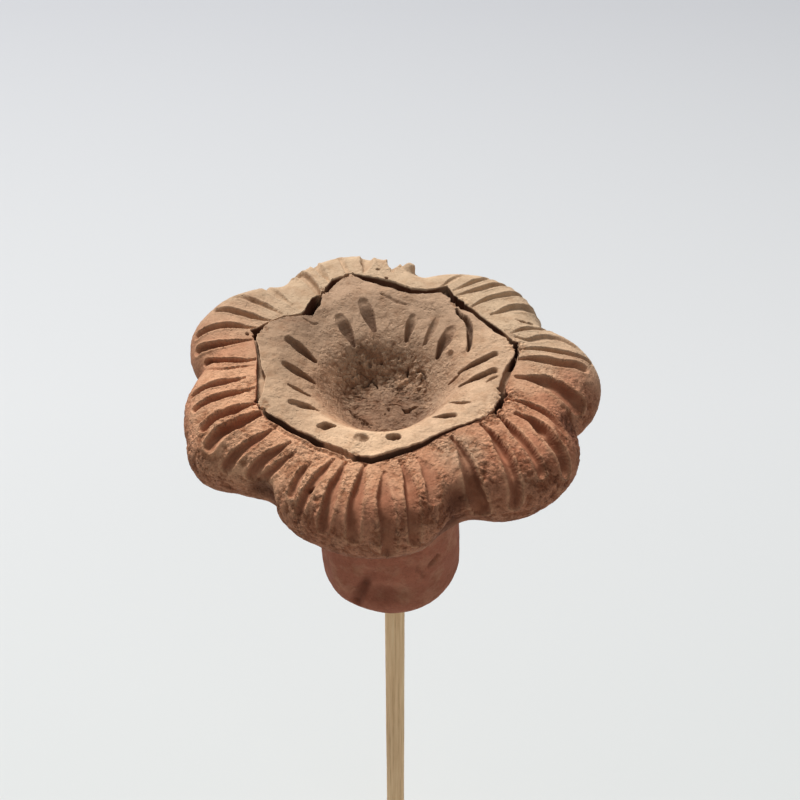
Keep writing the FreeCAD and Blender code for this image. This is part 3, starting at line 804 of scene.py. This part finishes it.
def mark_depths(plan):
    """Depth of the marks, how much painted shade they get, and depth of the cracks, at each point.
    """
    marks, dark, cracks = np.zeros((3, len(plan)))
    spots = np.column_stack([plan, np.zeros(len(plan))])
    for outer, inner, half, deep, start_width, end_width in MARKS:
        chosen, side, along = near_stroke(plan, np.array([outer, inner]), half * 1.6)
        width = half * (1 - (1 - start_width) * fall(-0.1, 0.4, along))
        width *= 1 - (1 - end_width) * fade(0.4, 1.1, along)
        width *= 1 + 0.06 * GRAIN(spots[chosen], 0.8)
        behind = fade(5.0, 8.5, outer[1])
        slope = 0.55 - 0.15 * behind + (0.45 + 0.15 * behind) * fade(-0.1, 0.7, along)
        slope *= 1 - 0.35 * behind * fall(0.0, 0.3, along)
        amount = 1.2 * deep * slope * np.clip(1 - (np.abs(side) / width) ** 3, 0, 1)
        marks[chosen] = np.maximum(marks[chosen], amount)
        shaded = 0.54 - 0.3 * behind + (0.28 + 0.24 * behind) * along
        shaded += 0.1 * fade(5.0, 8.0, outer[0])
        shaded *= np.clip(1.6 * amount / deep, 0, 1)
        dark[chosen] = np.maximum(dark[chosen], shaded * min(1.0, deep))
    for route, half, deep in CRACKS:
        chosen, side, along = near_stroke(plan, curve_through(route, 6), half * 2.5)
        wander = side + 0.08 * GRAIN(spots[chosen], 0.9, 2)
        width = half * (1 - 0.6 * np.abs(2 * along - 1) ** 3)
        amount = deep * np.clip(1 - (wander / width) ** 2, 0, 1) ** 0.7
        cracks[chosen] = np.maximum(cracks[chosen], amount)
    for x, y, radius, deep in PITS:
        away = np.hypot(plan[:, 0] - x, plan[:, 1] - y) + 0.12 * GRAIN(spots, 0.5)
        cracks = np.maximum(cracks, 0.7 * deep * fall(0.3 * radius, 1.1 * radius, away))
    return marks, dark, cracks


# the parts of the star's skin, from the hidden body up
BODY, CUT, EDGE, FACE = range(4)


def star_rows(edge, outer_edge, cut_depth, dx, dy):
    """The star's plain skin from its middle out and down, each row's part, the brim's height."""
    rows, part = [], []

    def add(distance, height, kind):
        x = STAR_MIDDLE[0] + dx * distance
        y = STAR_MIDDLE[1] + dy * distance
        if height is None:
            height = bowl_height(x, y)
        rows.append(np.stack([x, y, height + 0 * x], axis=1))
        part.append(kind)

    steps = 140
    for share in (np.arange(steps) + 1) / steps:
        add((edge - LIP) * share, None, FACE)
    top = bowl_height(STAR_MIDDLE[0] + dx * edge, STAR_MIDDLE[1] + dy * edge)
    for turn in np.radians([70.0, 45.0, 20.0, 0.0]):
        add(edge - LIP * (1 - math.cos(turn)), top - LIP * (1 - math.sin(turn)), EDGE)
    bottom = np.minimum(HEAD_TOP - cut_depth, top - LIP - 0.1)
    for share in np.linspace(0, 1, 14)[1:]:
        add(edge, (top - LIP) * (1 - share) + bottom * share, CUT)
    add(edge + 0.5 * (outer_edge - edge), bottom - 0.04, CUT)
    add(outer_edge + 0.1, bottom, CUT)
    for height in (HEAD_TOP - CUT_DEPTH - 0.1, HEAD_MIDDLE, STAR_FOOT):
        add(outer_edge + 0.1, height, BODY)
    return np.array(rows), part, top


def star_cup():
    """Points, faces, end fans and marks of the star with its bowl."""
    headings, dx, dy = circle(STAR_COLUMNS)
    edge, outer_edge, cut_depth = cut_outline(headings)
    grid, part, top = star_rows(edge, outer_edge, cut_depth, dx, dy)
    count, columns = grid.shape[:2]
    points = grid.reshape(-1, 3)
    x, y, z = points.T
    part = np.repeat(part, columns)
    on_face = part == FACE
    on_top = part >= EDGE

    # the marks and cracks, and the torn clay of the bowl's wall
    marks, dark, cracks = mark_depths(points[:, :2])
    marks *= on_face
    cracks *= on_top
    clean = 1 - np.clip(marks / 0.5, 0, 1)
    out = np.hypot(x - FLOOR_MIDDLE[0], y - FLOOR_MIDDLE[1])
    left = fall(-8.0, -4.5, x)
    wander = out + 1.2 * LUMPS(points + 70.0, 3.0)
    torn = fall(6.5, 9.8, wander) * (0.4 + 0.6 * fade(2.8, 4.8, wander))
    torn *= (0.35 + 0.65 * fade(-3.5, 3.0, y)) * on_face
    torn *= (1 - 0.75 * left * fall(4.0, 6.0, y)) * (1 - 0.85 * fade(3.0, 6.0, x))
    rough = 0.16 + 0.18 * fall(9.0, 13.0, out) + 0.2 * LUMPS(points + 44.0, 3.0) + 0.8 * torn
    rough = np.clip(rough, 0, 1) * on_face
    flat = points * [1.0, 1.0, 0.6]
    bent = flat * [0.6, 1.0, 1.0] + 0.4 * TEARS(flat, 1.8)[:, None]
    tears = 0.2 * TEARS(bent, 1.5, 4, 0.65) + 0.16 * (0.5 - TEARS.crumbs(bent, 0.65))
    crevice = np.clip(1 - 8.0 * np.abs(TEARS(bent + 50.0, 1.6)), 0, 1)
    crevice *= fade(0.0, 0.6, TEARS(flat, 3.0))

    fine = fine_relief(points, rough * clean, crumbly_share(x, y))
    fine += (tears - 0.22 * crevice) * torn * clean
    lift = broad_dents(points) + fine + 0.1 * LUMPS(points + 21.0, 1.7, 2)
    lift += CRUMB[3] * fall(0.1, CRUMB[2], np.hypot(x - CRUMB[0], y - CRUMB[1]))
    z += lift * on_top - marks - cracks

    # pale dust towards the back, and less of it on the right
    in_bowl = fall(117.0, 119.9, bowl_height(x, y))
    pale = fade(-18.0, 4.0, y + 0.7 * x + 3.0 * LUMPS(points, 5.0))
    pale *= 1 - 0.45 * fade(5.0, 10.0, x) * fall(5.0, 11.0, y)

    # dark: painted shade in the cut's walls, cracks, crevices and marks and on the hidden
    # underside;
    # darker low in the bowl and painted shade on the left, less on the lit right wall and the back
    # wall
    floor = fall(3.5, 7.5, out)
    painted_shade = 0.38 + 0.2 * floor - 0.16 * left - 0.4 * fade(0.0, 4.5, y)
    painted_shade -= 0.5 * fade(1.0, 9.0, x) * (1 - floor)
    painted_shade *= fall(113.6, 119.2, z)
    painted_shade += 0.16 * LUMPS(points + 8.0, 1.8, 3, 0.65) * in_bowl
    painted_shade = np.clip(painted_shade + 0.38 * fall(-13.0, -7.0, x), 0, 1)
    deep = np.maximum.reduce([
        (part == CUT) * cut_darkness(z, top, cut_depth), 0.8 * np.clip(cracks / 0.5, 0, 1),
        0.65 * crevice * torn, dark * on_face, painted_shade * on_face, 0.45 * (part == BODY),
    ])
    # the brim paler than the bowl: worn, and painted light on its flat top
    made = {
        "sunk": np.clip(marks / 0.6, 0, 1), "deep": deep, "rough": rough, "pale": pale,
        "worn": 1 - in_bowl, "relief": fine / 0.14,
    }
    made = {name: np.append(values, [values[0], 0.0]) for name, values in made.items()}
    hubs = [points[:columns].mean(axis=0), [*STAR_MIDDLE, STAR_FOOT]]
    return np.vstack([points, *hubs]), *closed_faces(count, columns, True), made


# ---- the handle

def cut_mark(points, ends, reach):
    """1 on the line between two points of the clay, fading to 0 at reach."""
    start, end = np.array(ends)
    run = end - start
    share = np.clip((points - start) @ run / (run @ run), 0, 1)
    return fall(0.1 * reach, reach, np.linalg.norm(points - start - share[:, None] * run, axis=1))


def round_lump(points, place, sizes, low, high):
    """1 at a place of the clay, fading to 0 away from it: low and high in the lump's half sizes."""
    away = (points - np.array(place)) / np.array(sizes)
    return fall(low, high, np.linalg.norm(away, axis=1))


def handle():
    """Points, faces, end fans and marks of the handle with its socket."""
    _, dx, dy = circle(HANDLE_COLUMNS)
    mouth = STICK_RADIUS + SEAT_GAP
    tip = POINT_RADIUS + SEAT_GAP
    inner_end = STICK_LENGTH + 2 * SEAT_GAP
    upper_end = HEAD_LOW + HANDLE_INSIDE_HEAD
    corner = FOOT_ROUND - FOOT_ROUND_LESS * (0.5 - 0.5 * dx)
    straight = HANDLE_RADIUS - corner
    side_start = HANDLE_LOW + corner
    rows = []

    def add(radius, height):
        rows.append(np.stack([dx * radius, dy * radius, height + 0 * dx], axis=1))

    # down the socket, out under the foot, round its edge and up the side
    for share in np.linspace(0, 1, 12):
        add(tip + share * (mouth - tip), inner_end + share * (HANDLE_LOW + 0.3 - inner_end))
    add(mouth + 0.1, HANDLE_LOW + 0.08)
    for share in np.linspace(0, 1, 16):
        add(mouth + 0.35 + share * (straight - mouth - 0.35), HANDLE_LOW)
    for turn in np.radians(np.linspace(-90, 0, 30))[1:]:
        add(straight + corner * math.cos(turn), HANDLE_LOW + corner * (1 + math.sin(turn)))
    for share in np.linspace(0, 1, 100)[1:]:
        height = side_start + share * (upper_end - side_start)
        waist = HANDLE_RADIUS - WAIST * fade(88.0, 98.0, height)
        add(waist + FLARE * fade(100.0, 112.5, height), height)
    grid = np.array(rows)
    count, columns = grid.shape[:2]
    out = np.hypot(grid[:, :, 0], grid[:, :, 1])
    shifted = fade(mouth + 1.0, mouth + 4.0, out)
    shifted *= fade(HANDLE_LOW - 1, HANDLE_LOW + 5, grid[:, :, 2])
    grid[:, :, 0] -= HANDLE_SHIFT * shifted
    normal = normals_of(grid).reshape(-1, 3)
    points = grid.reshape(-1, 3)
    z = points[:, 2]

    bump = 0.22 * LUMPS(points, 9.0) + 0.1 * LUMPS(points + 5.0, 3.2)
    bump += 0.03 * GRAIN(points, 0.9, 2)
    bent = points + 0.5 * LUMPS(points + 90.0, 2.5)[:, None]
    fold, nick, crease = (cut_mark(bent, ends, reach) for ends, reach, _ in (FOLD, NICK, CREASE))
    fold *= 1 - 0.6 * fade(87.0, 90.5, z)
    swelling = round_lump(points, *SWELLING[:2], 0.2, 1.5)
    dent = round_lump(points, *DENT[:2], 0.1, 1.3)
    bump += SWELLING[2] * swelling + DENT[2] * dent
    bump -= FOLD[2] * fold + NICK[2] * nick + CREASE[2] * crease
    free = fade(mouth + 0.3, mouth + 1.8, out.reshape(-1))
    moved = points + normal * (bump * free)[:, None]

    # dark: painted shade in the dent, fold, nick and crease, and darker towards the neck's bottom
    dark = 0.14 * fall(81.0, 92.0, z) + 0.32 * dent + 0.5 * fold + 0.5 * nick + 0.2 * crease
    nothing = np.zeros(len(points) + 2)
    marks = {
        "sunk": nothing, "deep": np.append(np.clip(dark, 0, 1), [0, 0]), "rough": nothing + 0.15,
        "pale": nothing, "worn": nothing, "relief": nothing,
    }
    moved = np.vstack([moved, [0, 0, inner_end], [0, 0, upper_end]])
    return moved, *closed_faces(count, columns, True), marks


# ---- the stick

def stick():
    """Points, faces, end fans and marks of the pointed stick."""
    _, dx, dy = circle(STICK_COLUMNS)
    profile = STICK_FOOT + [(STICK_RADIUS, height) for height in np.linspace(0.8, HANDLE_LOW, 200)]
    for share in np.linspace(0, 1, 30)[1:]:
        radius = STICK_RADIUS + share * (POINT_RADIUS - STICK_RADIUS)
        profile.append((radius, HANDLE_LOW + share * (STICK_LENGTH - HANDLE_LOW)))
    grid = np.array([np.stack([dx * radius, dy * radius, height + 0 * dx], axis=1)
                     for radius, height in profile])
    points = grid.reshape(-1, 3)
    fibre = GRAIN(points * [1.0, 1.0, 0.02], 0.35, 2)
    dent = LUMPS(points * [1.0, 1.0, 0.25], 3.0)
    points[:, :2] *= (1.0 + 0.01 * fibre + 0.012 * dent)[:, None]
    points = np.vstack([points, [0, 0, 0.0], [0, 0, STICK_LENGTH]])
    return points, *closed_faces(*grid.shape[:2]), {}


# ---- materials

# numbers of a mix node's sockets for colours
MIX_SHARE, MIX_FIRST, MIX_SECOND, MIXED = 0, 6, 7, 2


class Nodes:
    """Short ways to lay out the nodes of a material or world."""

    def __init__(self, owner, coords="Object"):
        owner.use_nodes = True
        self.owner = owner
        self.tree = owner.node_tree
        self.coords = self.add("ShaderNodeTexCoord").outputs[coords]

    def add(self, kind, inputs=(), **settings):
        """A new node with its settings, and its inputs filled by name or number."""
        node = self.tree.nodes.new(kind)
        for name, value in settings.items():
            setattr(node, name, value)
        self.fill(node, inputs)
        return node

    def fill(self, node, inputs):
        """Sets a node's inputs to numbers, vectors or colours, or links other sockets to them."""
        for name, value in dict(inputs).items():
            socket = node.inputs[name]
            if isinstance(value, (float, int)):
                socket.default_value = value
            elif isinstance(value, tuple):
                socket.default_value = (*value, 1.0)[:len(socket.default_value)]
            else:
                self.tree.links.new(value, socket)

    def noise(self, width, detail=3.0, roughness=0.55, stretch=None):
        """Noise whose lumps are about width millimetres apart."""
        place = self.coords
        if stretch:
            place = self.add("ShaderNodeMapping", {"Scale": stretch, "Vector": place}).outputs[0]
        return self.add("ShaderNodeTexNoise", {
            "Scale": 1.0 / (width * MM), "Detail": detail, "Roughness": roughness, "Vector": place,
        }).outputs["Fac"]

    def cells(self, width):
        """Distance to the nearest of scattered points about width millimetres apart."""
        inputs = {"Scale": 1.0 / (width * MM), "Vector": self.coords}
        return self.add("ShaderNodeTexVoronoi", inputs).outputs["Distance"]

    def ramp(self, source, stops):
        """Colours or greys by place along a ramp."""
        node = self.add("ShaderNodeValToRGB", {"Fac": source})
        while len(node.color_ramp.elements) < len(stops):
            node.color_ramp.elements.new(0.5)
        for element, (place, value) in zip(node.color_ramp.elements, stops):
            element.position = place
            colour = value if isinstance(value, tuple) else (value, value, value)
            element.color = (*colour, 1.0)
        return node.outputs["Color"]

    def mix(self, share, first, second, blend="MIX"):
        """The first colour with a share of the second, or with that share of it blended in."""
        inputs = {MIX_SHARE: share, MIX_FIRST: first, MIX_SECOND: second}
        node = self.add("ShaderNodeMix", inputs, data_type="RGBA", blend_type=blend)
        return node.outputs[MIXED]

    def maths(self, operation, *values, clamp=False):
        inputs = dict(enumerate(values))
        node = self.add("ShaderNodeMath", inputs, operation=operation, use_clamp=clamp)
        return node.outputs[0]

    def times(self, first, second):
        return self.maths("MULTIPLY", first, second)

    def mark(self, name):
        """One of the numbers that the mesh carries for each of its points."""
        return self.add("ShaderNodeAttribute", attribute_name=name).outputs["Fac"]

    def along_y(self):
        split = self.add("ShaderNodeSeparateXYZ", {"Vector": self.coords})
        return split.outputs["Y"]

    def surface(self, inputs, height=None, depth=0.0):
        """Finishes a material. height, 0 to 1, is fine relief of that depth in millimetres."""
        shader = self.tree.nodes["Principled BSDF"]
        self.fill(shader, inputs)
        if height is not None:
            bump = self.add("ShaderNodeBump", {"Distance": depth * MM, "Height": height})
            self.fill(shader, {"Normal": bump.outputs["Normal"]})
        return self.owner


def material_nodes(name):
    return Nodes(bpy.data.materials.new(name))


def srgb(red, green, blue):
    """A colour as read off a screen, 0 to 255, as linear light."""
    def linear(value):
        value /= 255
        return value / 12.92 if value <= 0.04045 else ((value + 0.055) / 1.055) ** 2.4
    return (linear(red), linear(green), linear(blue))


def clay(name, red, worn, dusty, dark):
    """Fired clay: red body, paler tan where worn and where light is painted on, grey-tan dust,
    painted shade in hollows and crevices, and fine pits.

    The mesh's marks say where: paler (worn, and painted light), pale with dust, rough, sunk in a
    groove (painted shade), deep and dark (painted shade), and the relief from crevice to crest
    (painted shade in its hollows, a painted highlight on its crests).
    """
    n = material_nodes(name)
    rough = n.mark("rough")
    # paler where worn and where light is painted on the flat tops, grey-tan where dusty
    wander = n.maths("MULTIPLY_ADD", n.noise(3.0, 3.0), 0.9, -0.45)
    worn_and_lit_share = n.maths("ADD", n.mark("worn"), wander, clamp=True)
    pale_share = n.maths("ADD", n.mark("pale"), n.times(wander, 0.5), clamp=True)
    colour = n.mix(worn_and_lit_share, red, worn)
    colour = n.mix(pale_share, colour, dusty)

    blotch = n.ramp(n.noise(2.2, 4.0, 0.65), [
        (0.32, (0.82, 0.75, 0.7)), (0.5, 1.0), (0.7, 1.14),
    ])
    colour = n.mix(0.85, colour, blotch, "MULTIPLY")
    speckle = n.ramp(n.noise(0.32, 2.0, 0.7), [(0.36, 0.66), (0.5, 1.0), (0.68, 1.12)])
    speckle_share = n.maths("MULTIPLY_ADD", rough, 0.5, 0.2)
    colour = n.mix(speckle_share, colour, speckle, "MULTIPLY")
    # dark spots in the rough clay: painted shade of fine crevices
    crevice = n.ramp(n.noise(0.75, 3.0, 0.62), [(0.34, 0.42), (0.41, 1.0)])
    colour = n.mix(n.times(rough, 0.75), colour, crevice, "MULTIPLY")

    # painted shade in the fine relief's hollows and a painted highlight on its crests
    relief = n.maths("MULTIPLY_ADD", n.mark("relief"), 0.5, 0.5, clamp=True)
    crest = n.ramp(relief, [
        (0.05, (0.66, 0.56, 0.5)), (0.42, 0.96), (0.58, 1.0), (0.95, (1.26, 1.2, 1.14)),
    ])
    colour = n.mix(0.9, colour, crest, "MULTIPLY")
    # painted shade: in the grooves and marks, then in cuts, hollows, holes, cracks and creases
    groove = n.mix(1.0, colour, (0.6, 0.54, 0.51), "MULTIPLY")
    colour = n.mix(n.times(n.mark("sunk"), 0.48), colour, groove)
    colour = n.mix(n.times(n.mark("deep"), 0.93), colour, dark)

    chunks = n.times(n.cells(0.55), n.times(rough, -0.9))
    grain_share = n.maths("MULTIPLY_ADD", rough, 0.9, 0.22)
    grain = n.maths("MULTIPLY_ADD", n.noise(0.3, 3.0, 0.65), grain_share, chunks)
    pits = n.ramp(n.noise(0.7, 2.0, 0.6), [(0.33, 0.0), (0.4, 1.0)])
    height = n.maths("MULTIPLY_ADD", pits, n.maths("MULTIPLY_ADD", rough, 0.5, 0.1), grain)
    inputs = {"Base Color": colour, "Roughness": 0.92, "Specular IOR Level": 0.18}
    return n.surface(inputs, height, 0.3)


def wood(name):
    """Pale split wood with long straight fibres."""
    n = material_nodes(name)
    fibres = n.noise(0.5, 5.0, 0.65, stretch=(1.0, 1.0, 0.03))
    colour = n.ramp(fibres, [
        (0.28, srgb(188, 146, 100)), (0.45, srgb(230, 190, 142)),
        (0.6, srgb(242, 206, 158)), (0.78, srgb(246, 220, 178)),
    ])
    broad = n.ramp(n.noise(3.0, 2.0, 0.5, stretch=(1.0, 1.0, 0.1)), [(0.3, 0.88), (0.7, 1.06)])
    colour = n.mix(0.8, colour, broad, "MULTIPLY")
    inputs = {"Base Color": colour, "Roughness": 0.7, "Specular IOR Level": 0.3}
    return n.surface(inputs, fibres, 0.08)


# the paler tans are worn clay and painted light on flat tops; the dark colours are the painted
# shade's
RED_CLAY = srgb(186, 126, 95)
WORN_AND_LIT_CLAY = srgb(222, 168, 130)
DUSTY_CLAY = srgb(204, 174, 142)
DARK_CLAY = srgb(92, 50, 33)
CUP_RED = srgb(206, 158, 122)
CUP_WORN_AND_LIT = srgb(230, 192, 155)
CUP_DUST = srgb(190, 156, 127)
CUP_DARK = srgb(84, 55, 40)
HANDLE_RED = srgb(168, 104, 80)


def add_pieces():
    ring = make_piece("petal_ring_clay", *petal_ring())
    ring.data.materials.append(clay("petal clay", RED_CLAY, WORN_AND_LIT_CLAY, DUSTY_CLAY, DARK_CLAY))
    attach(ring, "stamp")
    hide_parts("petal_ring")

    cup = make_piece("star_cup_clay", *star_cup())
    cup.data.materials.append(clay("cup clay", CUP_RED, CUP_WORN_AND_LIT, CUP_DUST, CUP_DARK))
    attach(cup, "stamp")
    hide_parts("star_cup")

    stub = make_piece("handle_clay", *handle())
    stub.data.materials.append(clay("handle clay", HANDLE_RED, WORN_AND_LIT_CLAY, DUSTY_CLAY, DARK_CLAY))
    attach(stub, "stamp")
    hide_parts("handle")

    rod = make_piece("stick_wood", *stick())
    rod.data.materials.append(wood("stick wood"))
    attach(rod, "stick")
    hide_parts("stick")


# ---- floor, light and camera

FLOOR_HALF = 4.0        # metres, like the rest of this section
LAMP_TARGET = (0.0, 0.0, 0.115)
CAMERA_PLACE = (0.0008, -0.1396, 0.235)
CAMERA_TILT = 41.0      # degrees below level


def add_floor():
    """Pale paper that gets darker towards the back."""
    half = FLOOR_HALF
    mesh = bpy.data.meshes.new("floor")
    corners = [(-half, -half, 0), (half, -half, 0), (half, half, 0), (-half, half, 0)]
    mesh.from_pydata(corners, [], [(0, 1, 2, 3)])
    floor = bpy.data.objects.new("floor", mesh)
    bpy.context.scene.collection.objects.link(floor)
    n = material_nodes("floor paper")
    far = n.maths("MULTIPLY_ADD", n.along_y(), 2.0, 0.0, clamp=True)
    paper = n.ramp(far, [
        (0.0, srgb(221, 223, 221)), (0.26, srgb(213, 214, 214)), (0.72, srgb(179, 180, 183)),
    ])
    mesh.materials.append(n.surface({"Base Color": paper, "Roughness": 0.9}))


def add_lamp(name, place, size, power):
    """A soft round lamp aimed at the stamp's head."""
    lamp = bpy.data.lights.new(name, "AREA")
    lamp.shape = "DISK"
    lamp.size = size
    lamp.energy = power
    holder = bpy.data.objects.new(name, lamp)
    holder.location = place
    aim = Vector(LAMP_TARGET) - Vector(place)
    holder.rotation_euler = aim.to_track_quat("-Z", "Y").to_euler()
    bpy.context.scene.collection.objects.link(holder)


def add_light():
    """A key lamp behind on the left, a weak fill in front, and a room that is brighter behind."""
    world = bpy.data.worlds.new("studio")
    n = Nodes(world, "Generated")
    level = n.add("ShaderNodeMapRange", {
        "Value": n.along_y(), "From Min": -0.9, "From Max": 0.9, "To Min": 0.14, "To Max": 0.42,
    })
    # the camera sees the room plain and pale all round
    rays = n.add("ShaderNodeLightPath")
    seen = n.add("ShaderNodeMix", {
        "Factor": rays.outputs["Is Camera Ray"], "A": level.outputs["Result"], "B": 0.8,
    })
    background = n.tree.nodes["Background"]
    n.fill(background, {"Color": (0.93, 0.96, 1.0), "Strength": seen.outputs["Result"]})
    bpy.context.scene.world = world
    add_lamp("key", (-0.42, 1.05, 1.2), size=0.45, power=29.0)
    add_lamp("fill", (0.4, -1.1, 1.0), size=1.0, power=1.8)


def add_camera():
    camera = bpy.data.cameras.new("camera")
    camera.lens = 63.0
    camera.sensor_width = 36.0
    camera.clip_start = 0.01
    camera.clip_end = 10.0
    holder = bpy.data.objects.new("camera", camera)
    holder.location = CAMERA_PLACE
    holder.rotation_euler = (math.radians(90.0 - CAMERA_TILT), 0.0, 0.0)
    bpy.context.scene.collection.objects.link(holder)
    bpy.context.scene.camera = holder


add_pieces()
add_floor()
add_light()
add_camera()
bpy.context.scene.view_settings.view_transform = "Standard"
